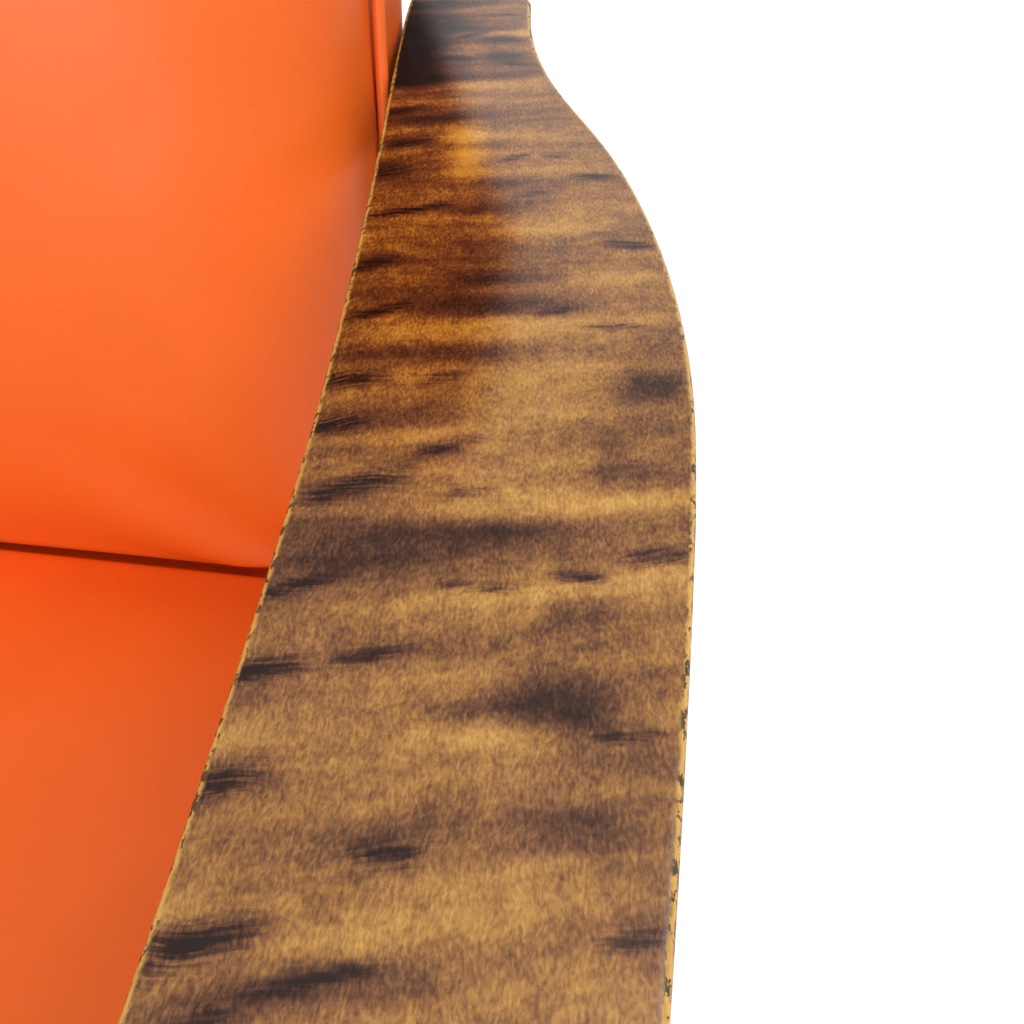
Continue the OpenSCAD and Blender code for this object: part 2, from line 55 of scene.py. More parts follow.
class Nodes:
    """A short way to write a material's node tree."""

    def __init__(self, name):
        self.mat = bpy.data.materials.new(name)
        self.mat.use_nodes = True
        self.tree = self.mat.node_tree
        self.tree.nodes.clear()
        self.out = self.tree.nodes.new("ShaderNodeOutputMaterial")
        self.shader = self.tree.nodes.new("ShaderNodeBsdfPrincipled")
        self.tree.links.new(self.shader.outputs[0], self.out.inputs[0])
        self.position = self.tree.nodes.new("ShaderNodeTexCoord").outputs["Object"]

    def put(self, socket, value):
        if isinstance(value, bpy.types.NodeSocket):
            self.tree.links.new(value, socket)
        elif value is not None:
            socket.default_value = value

    def set(self, **values):
        for name, value in values.items():
            self.put(self.shader.inputs[name.replace("_", " ")], value)

    def mapped(self, scale=(1, 1, 1), turn=(0, 0, 0), move=(0, 0, 0), source=None):
        n = self.tree.nodes.new("ShaderNodeMapping")
        self.put(n.inputs["Vector"], source or self.position)
        n.inputs["Scale"].default_value = scale
        n.inputs["Rotation"].default_value = turn
        n.inputs["Location"].default_value = move
        return n.outputs[0]

    def noise(self, source, scale=1.0, detail=2.0, rough=0.5, color=False, warp=0.0):
        n = self.tree.nodes.new("ShaderNodeTexNoise")
        self.put(n.inputs["Vector"], source)
        n.inputs["Scale"].default_value = scale
        n.inputs["Detail"].default_value = detail
        n.inputs["Roughness"].default_value = rough
        n.inputs["Distortion"].default_value = warp
        return n.outputs["Color" if color else "Fac"]

    def cells(self, source, scale, feature="DISTANCE_TO_EDGE"):
        n = self.tree.nodes.new("ShaderNodeTexVoronoi")
        n.feature = feature
        self.put(n.inputs["Vector"], source)
        n.inputs["Scale"].default_value = scale
        return n.outputs["Distance"]

    def math(self, op, a, b=None, clamp=False):
        n = self.tree.nodes.new("ShaderNodeMath")
        n.operation = op
        n.use_clamp = clamp
        self.put(n.inputs[0], a)
        self.put(n.inputs[1], b)
        return n.outputs[0]

    def vector(self, op, a, b, scale=None):
        n = self.tree.nodes.new("ShaderNodeVectorMath")
        n.operation = op
        self.put(n.inputs[0], a)
        if b is not None:
            self.put(n.inputs[1], b)
        if scale is not None:
            n.inputs["Scale"].default_value = scale
        return n.outputs[0]

    def range(self, value, low, high, to_low=0.0, to_high=1.0, smooth=True):
        n = self.tree.nodes.new("ShaderNodeMapRange")
        n.interpolation_type = "SMOOTHSTEP" if smooth else "LINEAR"
        self.put(n.inputs["Value"], value)
        n.inputs["From Min"].default_value = low
        n.inputs["From Max"].default_value = high
        n.inputs["To Min"].default_value = to_low
        n.inputs["To Max"].default_value = to_high
        return n.outputs[0]

    def ramp(self, value, stops):
        n = self.tree.nodes.new("ShaderNodeValToRGB")
        self.put(n.inputs[0], value)
        ends = n.color_ramp.elements
        while len(ends) < len(stops):
            ends.new(0.5)
        for e, (at, color) in zip(ends, stops):
            e.position = at
            e.color = (*color, 1)
        return n.outputs[0]

    def mix(self, fac, a, b, blend="MIX"):
        n = self.tree.nodes.new("ShaderNodeMix")
        n.data_type = "RGBA"
        n.blend_type = blend
        self.put(n.inputs[0], fac)
        for socket, value in ((n.inputs[6], a), (n.inputs[7], b)):
            self.put(socket, (*value, 1) if isinstance(value, tuple) else value)
        return n.outputs[2]

    def attribute(self, name):
        n = self.tree.nodes.new("ShaderNodeAttribute")
        n.attribute_name = name
        return n.outputs["Fac"]

    def bump(self, height, strength, distance, normal=None):
        n = self.tree.nodes.new("ShaderNodeBump")
        n.inputs["Strength"].default_value = strength
        n.inputs["Distance"].default_value = distance
        self.put(n.inputs["Height"], height)
        self.put(n.inputs["Normal"], normal)
        return n.outputs[0]


# ---- Materials ----

WOOD_TONES = [
    (0.00, (0.014, 0.005, 0.003)),
    (0.20, (0.044, 0.016, 0.008)),
    (0.38, (0.112, 0.045, 0.019)),
    (0.55, (0.225, 0.099, 0.029)),
    (0.75, (0.375, 0.192, 0.046)),
    (1.00, (0.540, 0.325, 0.090)),
]


BAND_TILT = -0.19


def make_wood(name, along="Y", figure=1.0, edges=False, tone=0.535):
    """Varnished figured wood: short fibres along the piece, wavy bands of figure across it."""
    n = Nodes(name)
    turn = {"Y": (0, 0, 0), "X": (0, 0, math.pi / 2), "Z": (math.pi / 2, 0, 0)}[along]
    grain = n.mapped(turn=turn)
    # a slow wander bends both the fibres and the bands
    wander = n.vector("SUBTRACT", n.noise(grain, 14, 2, 0.5, color=True), (0.5, 0.5, 0.5))
    wandered = n.vector("ADD", grain, n.vector("SCALE", wander, None, 0.022))
    bent = n.mapped(turn=(0, 0, BAND_TILT), source=wandered)
    ripple = n.vector("SUBTRACT", n.noise(grain, 120, 3, 0.6, color=True), (0.5, 0.5, 0.5))
    fine = n.vector("ADD", grain, n.vector("SCALE", ripple, None, 0.0030))

    broad = n.noise(n.mapped((9, 62, 16), source=bent), 1, 3, 0.5)
    narrow = n.noise(n.mapped((26, 230, 60), move=(3, 1, 7), source=bent), 1, 4, 0.6)
    cloud = n.noise(n.mapped((30, 22, 30), move=(5, 2, 1), source=grain), 1, 2, 0.5)
    patch = n.noise(n.mapped((190, 150, 190), move=(1, 6, 1), source=fine), 1, 3, 0.6)
    fleck = n.noise(n.mapped((1150, 560, 900), source=fine), 1, 2, 0.6)
    fibre = n.noise(n.mapped((1500, 210, 900), move=(9, 4, 2), source=fine), 1, 2, 0.6)

    def swing(part, low, high, gain, smooth=False):
        return n.range(part, low, high, -gain / 2, gain / 2, smooth)

    value = n.math("ADD", swing(broad, 0.32, 0.68, 0.20 * figure, True), tone)
    for part, low, high, gain in (
        (narrow, 0.30, 0.70, 0.12 * figure), (cloud, 0.30, 0.70, 0.12), (patch, 0.28, 0.72, 0.17),
        (fleck, 0.25, 0.75, 0.30), (fibre, 0.28, 0.72, 0.10),
    ):
        value = n.math("ADD", value, swing(part, low, high, gain))
    hairs = n.range(fibre, 0.66, 0.78)
    value = n.math("SUBTRACT", value, n.math("MULTIPLY", hairs, 0.13))
    if edges:
        brush = n.noise(n.mapped((60, 900, 200), turn=(0, 0, -0.02), source=bent), 1, 3, 0.6)
        brushed = n.math("MULTIPLY", n.attribute("mark"), n.range(brush, 0.36, 0.62, 0.45, 1.3))
        # the second mask holds figure clouds and a painted shadow where the arm passes the back
        value = n.math("SUBTRACT", n.math("SUBTRACT", value, brushed), n.attribute("figure_and_shade"))
    color = n.ramp(value, WOOD_TONES)
    # some areas lean to purple brown
    color = n.mix(n.math("MULTIPLY", n.range(cloud, 0.5, 0.7), 0.5), color,
                  n.mix(1.0, color, (0.90, 0.86, 1.12), "MULTIPLY"))
    rough = n.range(patch, 0.2, 0.8, 0.42, 0.56)
    height = n.math("SUBTRACT", n.math("MULTIPLY", fleck, 0.5), n.math("MULTIPLY", hairs, 0.5))
    if edges:
        # painted reflection of the orange back: redder and darker colour where its mask is set
        tint = n.mix(n.range(value, 0.45, 0.80), (0.58, 0.24, 0.06), (0.86, 0.54, 0.12))
        color = n.mix(n.attribute("painted_reflection"), color, n.mix(1.0, color, tint, "MULTIPLY"))
        edge = n.attribute("edge")
        wear = n.noise(n.mapped((420, 260, 300), source=fine), 1, 4, 0.7)
        shifted = n.math("ADD", edge, n.range(wear, 0.0, 1.0, -0.0011, 0.0011, False))
        line = n.math("MULTIPLY", n.range(shifted, 0.0001, 0.0008), n.range(shifted, 0.0010, 0.0024, 1, 0))
        rim = n.range(shifted, -0.0004, 0.0005, 1, 0)
        chips = n.noise(n.mapped((440, 280, 330), move=(2, 8, 3), source=grain), 1, 3, 0.7)
        nick = n.range(chips, 0.54, 0.60)
        color = n.mix(n.math("MULTIPLY", rim, 0.85), color, (0.055, 0.022, 0.009))
        color = n.mix(n.math("MULTIPLY", line, 0.80), color, (0.60, 0.34, 0.075))
        nicks = n.math("MULTIPLY", nick, n.range(shifted, 0.0014, 0.0028, 1, 0))
        color = n.mix(n.math("MULTIPLY", nicks, 0.9), color, (0.022, 0.010, 0.006))
        height = n.math("SUBTRACT", height, nicks)
    n.set(Base_Color=color, Roughness=rough, Coat_Roughness=0.22, Coat_IOR=1.5,
          Normal=n.bump(height, 0.4, 0.0002))
    n.shader.inputs["Specular IOR Level"].default_value = 0.16
    n.shader.inputs["Coat Weight"].default_value = 0.34
    if edges:
        # less specular and coat gloss in the painted reflection zone
        n.put(n.shader.inputs["Specular IOR Level"], n.range(n.attribute("painted_reflection"), 0.0, 0.85, 0.16, 0.02))
        n.put(n.shader.inputs["Coat Weight"], n.range(n.attribute("painted_reflection"), 0.0, 0.88, 0.34, 0.015))
    orange_peel = n.noise(n.mapped((140, 140, 140)), 1, 2, 0.5)
    n.put(n.shader.inputs["Coat Normal"], n.bump(orange_peel, 0.10, 0.0006))
    return n.mat


def make_leather(name, color=(0.69, 0.108, 0.007), grain=1.0):
    """Smooth orange leather with a fine pebble, soft gloss and slow changes of tone."""
    n = Nodes(name)
    pebble = n.cells(n.mapped(), 620)
    pore = n.noise(n.mapped(), 1500, 2, 0.6)
    crease = n.noise(n.mapped((60, 60, 60)), 1, 4, 0.6, warp=0.6)
    slow = n.noise(n.mapped((7, 7, 7)), 1, 3, 0.55)
    light = tuple(min(1.0, c * 1.04 + 0.004) for c in color)
    dark = tuple(c * 0.95 for c in color)
    base = n.mix(n.range(slow, 0.3, 0.7), dark, light)
    base = n.mix(n.math("MULTIPLY", n.range(pebble, 0.0, 0.06, 1, 0), 0.22), base,
                 tuple(c * 0.62 for c in color))
    base = n.mix(n.math("MULTIPLY", n.range(pore, 0.60, 0.75), 0.10), base, tuple(c * 0.5 for c in color))
    # painted shade: deeper and redder down in the crease between seat and back, standing in for its shadow
    # and bounced light
    base = n.mix(n.attribute("painted_crease_shade"), base, n.mix(1.0, base, (1.0, 0.50, 0.05), "MULTIPLY"))
    height = n.math("ADD", n.math("MULTIPLY", n.range(pebble, 0.0, 0.16), 0.6),
                    n.math("MULTIPLY", pore, 0.25))
    soft = n.bump(crease, 0.10 * grain, 0.0016)
    n.set(Base_Color=base, Roughness=n.range(slow, 0.3, 0.7, 0.40, 0.50),
          Normal=n.bump(height, 0.16 * grain, 0.00022, soft))
    n.shader.inputs["Specular IOR Level"].default_value = 0.20
    n.shader.inputs["Coat Weight"].default_value = 0.26
    n.shader.inputs["Coat Roughness"].default_value = 0.27
    return n.mat


def make_plain_wood(name):
    n = Nodes(name)
    ring = n.noise(n.mapped((9, 160, 160)), 1, 4, 0.6, warp=0.3)
    fleck = n.noise(n.mapped((120, 900, 900)), 1, 2, 0.5)
    color = n.ramp(n.math("ADD", n.math("MULTIPLY", ring, 0.8), n.math("MULTIPLY", fleck, 0.2)),
                   [(0.25, (0.42, 0.27, 0.14)), (0.55, (0.60, 0.42, 0.24)), (0.8, (0.70, 0.53, 0.33))])
    n.set(Base_Color=color, Roughness=n.range(fleck, 0.3, 0.7, 0.62, 0.78),
          Normal=n.bump(fleck, 0.25, 0.0003))
    return n.mat


def make_metal(name, color, rough):
    n = Nodes(name)
    brushed = n.noise(n.mapped((900, 900, 90)), 1, 3, 0.6)
    spots = n.noise(n.mapped((120, 120, 120)), 1, 3, 0.6)
    tint = n.mix(n.range(spots, 0.4, 0.7), color, tuple(c * 0.72 for c in color))
    n.set(Base_Color=tint, Metallic=1.0, Roughness=n.range(brushed, 0.3, 0.7, rough - 0.07, rough + 0.1),
          Normal=n.bump(brushed, 0.12, 0.0001))
    return n.mat


def make_cloth(name, color, pitch, contrast=0.35, depth=0.0004):
    """Plain weave: two sets of threads over and under."""
    n = Nodes(name)
    waves = []
    for direction in ("X", "Y", "Z"):
        w = n.tree.nodes.new("ShaderNodeTexWave")
        w.bands_direction = direction
        w.inputs["Scale"].default_value = 0.31416 / pitch
        w.inputs["Distortion"].default_value = 0.6
        w.inputs["Detail Scale"].default_value = 3.0
        n.put(w.inputs["Vector"], n.position)
        waves.append(w.outputs["Fac"])
    over = n.math("MULTIPLY", n.math("MULTIPLY", waves[0], waves[1]), 1.0)
    weave = n.math("MAXIMUM", over, n.math("MULTIPLY", waves[2], 0.6))
    fluff = n.noise(n.mapped(), 900, 3, 0.6)
    color_out = n.mix(n.math("MULTIPLY", weave, contrast), tuple(c * 0.6 for c in color),
                      tuple(min(1, c * 1.35) for c in color))
    color_out = n.mix(n.math("MULTIPLY", fluff, 0.3), color_out, color)
    n.set(Base_Color=color_out, Roughness=n.range(fluff, 0.3, 0.7, 0.84, 0.95),
          Normal=n.bump(n.math("ADD", weave, n.math("MULTIPLY", fluff, 0.4)), 0.5, depth))
    n.shader.inputs["Sheen Weight"].default_value = 0.15
    return n.mat


def make_foam(name):
    n = Nodes(name)
    cell = n.cells(n.mapped(), 700, "F1")
    n.set(Base_Color=n.mix(n.range(cell, 0.1, 0.6), (0.55, 0.44, 0.22), (0.86, 0.76, 0.48)),
          Roughness=n.range(cell, 0.1, 0.6, 0.8, 0.95), Normal=n.bump(cell, 0.5, 0.0006))
    return n.mat


M_ARM = make_wood("arm_wood", "Y", 1.0, edges=True)
M_LEG = make_wood("leg_wood", "Z", 0.75, edges=True, tone=0.46)
M_RAIL_X = make_wood("rail_wood_x", "X", 0.7, tone=0.46)
M_RAIL_Y = make_wood("rail_wood_y", "Y", 0.7, tone=0.46)
M_LEATHER = make_leather("orange_leather")
# piping in a lighter copy of the same leather, a painted highlight
M_PIPING_HIGHLIGHT = make_leather("piping_leather_painted_highlight", (0.75, 0.120, 0.011), 0.6)
M_BEECH = make_plain_wood("frame_beech")
M_STEEL = make_metal("zinc_steel", (0.60, 0.61, 0.63), 0.34)
M_GLIDE = make_metal("glide_steel", (0.52, 0.53, 0.55), 0.28)
M_BRASS = make_metal("brass", (0.72, 0.53, 0.24), 0.30)
M_WEBBING = make_cloth("jute_webbing", (0.44, 0.34, 0.20), 0.0024)
M_HESSIAN = make_cloth("hessian", (0.50, 0.40, 0.24), 0.0016)
M_FOAM = make_foam("foam")
M_DUST = make_cloth("dust_cloth", (0.022, 0.022, 0.026), 0.0007, 0.5, 0.0002)

BY_SLOT = {
    "show_wood": M_RAIL_X, "frame_wood": M_BEECH, "orange_leather": M_LEATHER, "zinc_steel": M_STEEL,
    "glide_steel": M_GLIDE, "brass": M_BRASS, "webbing": M_WEBBING, "hessian": M_HESSIAN,
    "foam": M_FOAM, "dust_cloth": M_DUST,
}


def dress(obj, material):
    """Give a CAD node's object one material."""
    obj.data.materials.clear()
    obj.data.materials.append(material)


for part in frame["record"]["subparts"]:
    dress(frame["nodes"][part["node"]], BY_SLOT[part["material_slot"]])
for side in ("left", "right"):
    dress(frame["nodes"]["side_rail_" + side], M_RAIL_Y)
for centre in ("front", "rear"):
    dress(frame["nodes"]["centre_leg_" + centre], M_LEG)
dress(frame["nodes"]["back_spacers"], M_RAIL_Y)


# ---- Mesh helpers ----

def new_piece(name, verts, faces, material, replaces):
    mesh = bpy.data.meshes.new(name)
    mesh.from_pydata([tuple(v) for v in verts], [], [tuple(int(i) for i in f) for f in faces])
    mesh.validate()
    mesh.update()
    mesh.shade_smooth()
    obj = bpy.data.objects.new(name, mesh)
    bpy.context.scene.collection.objects.link(obj)
    mesh.materials.append(material)
    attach(obj, "root")
    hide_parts(*replaces)
    return obj


def smooth_line(values, window, keep):
    """Moving average that leaves the first and last keep values as they are."""
    out = values.copy()
    half = window // 2
    for i in range(keep, len(values) - keep):
        h = min(half, i, len(values) - 1 - i)
        out[i] = values[i - h:i + h + 1].mean()
    return out


def node_edges(node, axis, value):
    """Ends of the CAD node's edges that lie in the plane axis = value."""
    mesh = frame["nodes"][node].data
    co = np.array([v.co for v in mesh.vertices], float)
    pairs = np.array([e.vertices[:] for e in mesh.edges])
    flat = np.abs(co[:, axis] - value) < 1e-5
    return co[pairs[flat[pairs].all(axis=1)]]


def extent_at(segments, row, across, at):
    """Lowest and highest position across at which the segments pass row = at."""
    a, b = segments[:, 0], segments[:, 1]
    low, high = np.minimum(a[:, row], b[:, row]), np.maximum(a[:, row], b[:, row])
    hit = (low <= at + 1e-9) & (high >= at - 1e-9) & (high - low > 1e-9)
    t = (at - a[hit, row]) / (b[hit, row] - a[hit, row])
    x = a[hit, across] + t * (b[hit, across] - a[hit, across])
    return x.min(), x.max()


def distance_to_outline(points, outline):
    """Shortest distance from each 2-D point to a closed polyline."""
    a, b = outline, np.roll(outline, -1, axis=0)
    d = b - a
    length = (d ** 2).sum(1)
    best = np.full(len(points), 1e9)
    for i in range(len(a)):
        t = np.clip(((points - a[i]) @ d[i]) / max(length[i], 1e-12), 0, 1)
        gap = points - (a[i] + t[:, None] * d[i])
        best = np.minimum(best, np.hypot(gap[:, 0], gap[:, 1]))
    return best


def ring_of(n_rows, n_cols):
    """Indices around the edge of a grid, in order."""
    ring = list(range(n_cols)) + [i * n_cols + n_cols - 1 for i in range(1, n_rows)]
    ring += [(n_rows - 1) * n_cols + j for j in range(n_cols - 2, -1, -1)]
    return ring + [i * n_cols for i in range(n_rows - 2, 0, -1)]


def grid_faces(n_rows, n_cols, start=0, flip=False):
    faces = []
    for i in range(n_rows - 1):
        for j in range(n_cols - 1):
            a = start + i * n_cols + j
            face = (a, a + 1, a + n_cols + 1, a + n_cols)
            faces.append(face[::-1] if flip else face)
    return faces


def bridge(first, second):
    """Faces between two rings of the same length."""
    count = len(first)
    return [(first[k], second[k], second[(k + 1) % count], first[(k + 1) % count]) for k in range(count)]


EDGE_STEPS = np.array([0, 0.15, 0.4, 0.8, 1.3, 1.9, 2.6, 3.6, 5.2]) * MM


def board(name, rows, low, high, near, far, axes, radius, middle, material, replaces):
    """A board with rounded edges. Row positions run along it, low and high are its two edges at each
    row, near and far its two faces. axes gives which of x, y, z are across, along and thickness."""
    across, along, thick = axes
    r_plan, r_deep = radius
    columns = []
    for lo, hi in zip(low, high):
        half = (hi - lo) / 2
        steps = EDGE_STEPS * min(1.0, half / (EDGE_STEPS[-1] * 1.6))
        inner = np.linspace(lo + steps[-1], hi - steps[-1], middle + 2)[1:-1]
        columns.append(np.concatenate([lo + steps, inner, (hi - steps)[::-1]]))
    grid = np.array(columns)
    n_rows, n_cols = grid.shape
    outline = np.concatenate([
        np.stack([low, rows], 1), np.stack([high, rows], 1)[::-1]])
    flat = np.stack([grid.ravel(), np.repeat(rows, n_cols)], 1)
    inside = distance_to_outline(flat, outline)
    t = np.clip(1 - inside / r_plan, 0, 1)
    drop = r_deep * (1 - np.sqrt(np.clip(1 - t * t, 0, 1)))

    def sheet_at(level, sign):
        v = np.zeros((len(flat), 3))
        v[:, across], v[:, along] = flat[:, 0], flat[:, 1]
        v[:, thick] = level - sign * drop
        return v

    top, bottom = sheet_at(far, 1), sheet_at(near, -1)
    count = len(flat)
    ring = ring_of(n_rows, n_cols)
    faces = grid_faces(n_rows, n_cols) + grid_faces(n_rows, n_cols, count, True)
    # side wall with two middle rows
    walls = [np.array(ring)]
    verts = [top, bottom]
    total = 2 * count
    for share in (0.33, 0.67):
        verts.append(top[ring] * (1 - share) + bottom[ring] * share)
        walls.append(np.arange(total, total + len(ring)))
        total += len(ring)
    walls.append(np.array(ring) + count)
    for upper, lower in zip(walls, walls[1:]):
        faces += bridge(upper, lower)
    verts = np.concatenate(verts)
    obj = new_piece(name, verts, faces, material, replaces)
    face_outwards(obj)
    edge = np.full(len(verts), -0.002)
    edge[:count] = inside
    edge[count:2 * count] = inside
    store(obj, "edge", edge)
    return obj, verts, count


def face_outwards(obj):
    bm = bmesh.new()
    bm.from_mesh(obj.data)
    bmesh.ops.recalc_face_normals(bm, faces=bm.faces)
    bm.to_mesh(obj.data)
    bm.free()


def store(obj, name, values):
    """Keep one value per vertex for a material to read."""
    a = obj.data.attributes.new(name, "FLOAT", "POINT")
    a.data.foreach_set("value", np.asarray(values, np.float32))


# ---- Arms ----

# The figure of the arm. Clouds cross the board in bands, brushed strokes start at its inner edge, and a
# few short ones lie further out. Each kind has ranges for its share of the board's width, half length and
# half width in mm, tilt in degrees, depth of tone (negative is light), and how often a band has one. The
# marks are drawn from a fixed seed, so they are like the real figure in kind and not in place.
BAND_GAP = 26 * MM
STROKE_KINDS = [
    ((0.00, 0.16), (9, 15), (1.5, 4.5), (10, 30), (0.42, 0.62), 0.85),
    ((0.28, 0.65), (6, 11), (1.2, 3.5), (-14, 30), (0.34, 0.52), 0.45),
    ((0.70, 0.92), (6, 12), (0.9, 2.2), (0, 14), (0.36, 0.60), 0.45),
]
CLOUD_KINDS = [
    ((0.20, 0.80), (18, 34), (2.5, 5.5), (5, 14), (0.18, 0.30), 1.0),
    ((0.25, 0.75), (20, 44), (3.0, 5.0), (5, 16), (-0.28, -0.14), 1.0),
    ((0.70, 0.90), (8, 13), (5.0, 9.0), (-10, 20), (0.20, 0.36), 0.35),
]
ARM_SEEDS = {"left": 3, "right": 8}

# beside the back, painted reflection and shade of the orange leather make the varnish red brown and
# darker; the painted zone's edge slants in towards the rear
PAINTED_REFLECTION_FROM_Y = 0.055
PAINTED_REFLECTION_WIDE_TO_Y = 0.155
PAINTED_REFLECTION_EDGE_X = 0.855
PAINTED_REFLECTION_SLANT = 0.36
PAINTED_SHADE_END = 65 * MM


def painted_reflection_edge(y):
    return PAINTED_REFLECTION_EDGE_X - PAINTED_REFLECTION_SLANT * np.clip(y - PAINTED_REFLECTION_WIDE_TO_Y, 0, 1)


def draw_marks(kinds, rows, inner, outer, draw):
    """Marks of each kind, one chance in each band along the board: x, y, half sizes, tilt and depth."""
    marks = []
    for share, length, width, tilt, depth, often in kinds:
        for y in np.arange(rows[0] + BAND_GAP / 2, rows[-1], BAND_GAP):
            y += draw.uniform(-0.35, 0.35) * BAND_GAP
            across, half_length, half_width, lean_by, dark = (
                draw.uniform(*limits) for limits in (share, length, width, tilt, depth))
            if draw.uniform() > often:
                continue
            near, far = np.interp(y, rows, inner), np.interp(y, rows, outer)
            marks.append((near + across * (far - near), y, half_length, half_width, lean_by, dark))
    return marks


def mark_field(marks, x, y):
    """How much darker each point of the arm is, from a list of marks."""
    total = np.zeros(len(x))
    for mark_x, mark_y, half_length, half_width, tilt, depth in marks:
        a = math.radians(tilt)
        dx = (x - mark_x) / MM
        dy = (y - mark_y) / MM
        u = (dx * math.cos(a) + dy * math.sin(a)) / half_length
        v = (dy * math.cos(a) - dx * math.sin(a)) / half_width
        total += depth * np.exp(-np.abs(u) ** 3 - v ** 2)
    return total


def make_arm(side):
    node = "arm_" + side
    lo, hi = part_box(node)
    segments = node_edges(node, 2, hi.z)
    if side == "right":
        segments = segments * np.array([-1, 1, 1])
    nose = 34 * MM
    tail = 16 * MM
    body = np.arange(lo.y + nose, hi.y - tail, 2.0 * MM)
    body = np.append(body, hi.y - tail)
    ends = np.array([extent_at(segments, 1, 0, y) for y in body])
    inner = smooth_line(ends[:, 0], 13, 1)
    outer = smooth_line(ends[:, 1], 13, 1)
    near = np.clip((0.04 - body) / 0.12, 0, 1.1)
    outer -= 2.5 * MM * near
    inner -= 1.2 * MM * np.clip((0.06 - body) / 0.1, 0, 1)
    angles = np.radians(np.linspace(88.5, 0, 26)[:-1])
    front_y = body[0] - nose * np.sin(angles)
    c, a = (inner[0] + outer[0]) / 2, (outer[0] - inner[0]) / 2
    front = c - a * np.cos(angles), c + a * np.cos(angles)
    rear_y = (body[-1] + tail * np.sin(angles))[::-1]
    c, a = (inner[-1] + outer[-1]) / 2, (outer[-1] - inner[-1]) / 2
    rear = (c - a * np.cos(angles))[::-1], (c + a * np.cos(angles))[::-1]
    rows = np.concatenate([front_y, body, rear_y])
    low = np.concatenate([front[0], inner, rear[0]])
    high = np.concatenate([front[1], outer, rear[1]])
    flip = side == "right"
    if flip:
        low, high = -high, -low
    obj, verts, count = board(node + "_board", rows, low, high, lo.z, hi.z, (0, 1, 2),
                              (2.6 * MM, 2.6 * MM), 44, M_ARM, [node])
    x, y = np.abs(verts[:, 0]), verts[:, 1]
    inner, outer = np.minimum(np.abs(low), np.abs(high)), np.maximum(np.abs(low), np.abs(high))
    draw = np.random.default_rng(ARM_SEEDS[side])
    strokes = draw_marks(STROKE_KINDS, rows, inner, outer, draw)
    figure_clouds_and_shade = draw_marks(CLOUD_KINDS, rows, inner, outer, draw)
    # painted shadow and dark reflection where the arm passes the back, and a light patch halfway along the
    # painted reflection's edge
    painted_shade_y = hi.y - PAINTED_SHADE_END
    figure_clouds_and_shade.append((np.interp(painted_shade_y, rows, inner) + 9 * MM, painted_shade_y, 40, 17, 90, 0.95))
    patch_y = (PAINTED_REFLECTION_FROM_Y + hi.y) / 2
    figure_clouds_and_shade.append((painted_reflection_edge(patch_y) - 6 * MM, patch_y, 22, 8, 98, -0.42))
    store(obj, "mark", mark_field(strokes, x, y))
    store(obj, "figure_and_shade", mark_field(figure_clouds_and_shade, x, y))
    # painted reflection of the orange back: a mask beside the back that the wood material turns red brown
    # and less glossy
    painted_reflection_zone = 1 / (1 + np.exp((x - painted_reflection_edge(y)) / 0.0040))
    painted_reflection_zone *= 1 / (1 + np.exp((PAINTED_REFLECTION_FROM_Y - y) / 0.020))
    store(obj, "painted_reflection", 0.9 * painted_reflection_zone)
    return obj


make_arm("left")
make_arm("right")


# ---- Legs ----

def make_leg(which, side):
    node = f"{which}_leg_{side}"
    lo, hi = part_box(node)
    segments = node_edges(node, 0, hi.x if side == "left" else lo.x)
    rows = np.linspace(lo.z, hi.z, 150)
    inset = 1e-6
    ends = np.array([extent_at(segments, 2, 1, min(max(z, lo.z + inset), hi.z - inset)) for z in rows])
    front, rear = smooth_line(ends[:, 0], 15, 1), smooth_line(ends[:, 1], 15, 1)
    obj, verts, count = board(node + "_shaped", rows, front, rear, lo.x, hi.x, (1, 2, 0),
                              (4.0 * MM, 4.0 * MM), 8, M_LEG, [node])
    for name in ("mark", "figure_and_shade", "painted_reflection"):
        store(obj, name, np.zeros(len(verts)))
    return obj


for which in ("front", "rear"):
    for side in ("left", "right"):
        make_leg(which, side)

for node in ("front_rail", "rear_rail", "side_rail_left", "side_rail_right"):
    bevel = frame["nodes"][node].modifiers.new("rounded", "BEVEL")
    bevel.width = 2.5 * MM
    bevel.segments = 3
    bevel.limit_method = "ANGLE"


# ---- Back upholstery ----

RAKE = math.radians(20)
stile_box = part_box("back_stile_left")
cover_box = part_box("back_cover")
FRAME_Y, FRAME_LOW, FRAME_T, BACK_T = 0.100, 0.028, 0.028, 0.130
stile_low = (stile_box[0].y, stile_box[0].z + FRAME_T * math.sin(RAKE))
ORIGIN = (
    stile_low[0] - FRAME_Y * math.cos(RAKE) - FRAME_LOW * math.sin(RAKE),
    stile_low[1] + FRAME_Y * math.sin(RAKE) - FRAME_LOW * math.cos(RAKE),
)
EDGE_Y = 0.062
BOTTOM_TUCK = 0.006
HALF = cover_box[1].x
BACK_H = (cover_box[1].z - ORIGIN[1] + EDGE_Y * math.sin(RAKE)) / math.cos(RAKE)
CORNER = 0.060


def lean(x, y, z):
    """From the back's own frame, with z up its face and y into it, to the sofa's."""
    return (
        x,
        ORIGIN[0] + y * math.cos(RAKE) + z * math.sin(RAKE),
        ORIGIN[1] - y * math.sin(RAKE) + z * math.cos(RAKE),
    )


def back_half_at(z):
    over = max(0.0, z - (BACK_H - CORNER))
    return HALF - (CORNER - math.sqrt(max(0.0, CORNER ** 2 - over ** 2)))


def roll(t):
    """A quarter circle rising from 0 to 1."""
    t = min(max(t, 0.0), 1.0)
    return math.sqrt(max(0.0, 1 - (1 - t) ** 2))


def waves(x, z, seed, size, amount):
    """Slow, repeatable unevenness."""
    total = 0.0
    for k in range(1, 5):
        across = math.sin(x * size * k * 1.7 + seed * k * 2.1)
        upward = math.cos(z * size * k * 1.3 + seed * k * 3.7)
        total += across * upward / k
    return total * amount


